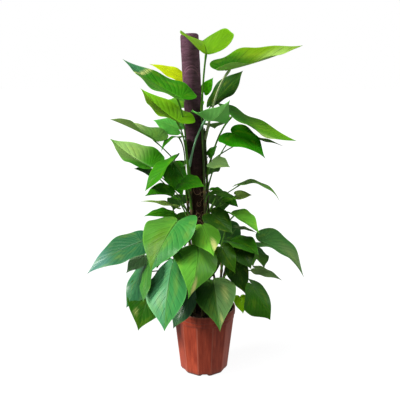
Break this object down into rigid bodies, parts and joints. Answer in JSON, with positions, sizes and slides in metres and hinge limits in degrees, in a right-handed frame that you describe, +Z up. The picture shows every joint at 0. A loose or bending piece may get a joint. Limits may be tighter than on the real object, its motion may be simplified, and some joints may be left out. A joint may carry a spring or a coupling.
{
  "type": "potted climbing plant",
  "caption": "Climbing plant with broad heart-shaped leaves on a net-wrapped pole, growing in a faceted plastic nursery pot.",
  "frame": {"origin": "centre of the flat pad under the pot, on the floor", "axes": "+Z up along the plant, -Y the side the picture shows, +X its right"},
  "size_m": [0.6667, 0.5656, 1.0817],
  "materials": {
    "pot": "terracotta-coloured plastic, satin",
    "soil": "dark potting soil, crumbed",
    "pole_pipe": "grey plastic pipe",
    "pole_net": "dark purple-brown shade net",
    "leaf": "living leaf and stem, waxy green"
  },
  "bodies": {
    "root": {"pot": "pot", "soil": "soil", "pole_pipe": "pole_pipe", "pole_net": "pole_net", "vine_front_left": "leaf", "vine_front_right": "leaf", "vine_right": "leaf", "vine_left": "leaf", "vine_back_left": "leaf", "vine_back_right": "leaf", "shoot_front": "leaf", "shoot_left": "leaf", "shoot_right": "leaf", "shoot_far_right": "leaf", "shoot_back": "leaf", "shoot_back_left": "leaf"}
  },
  "joints": []
}
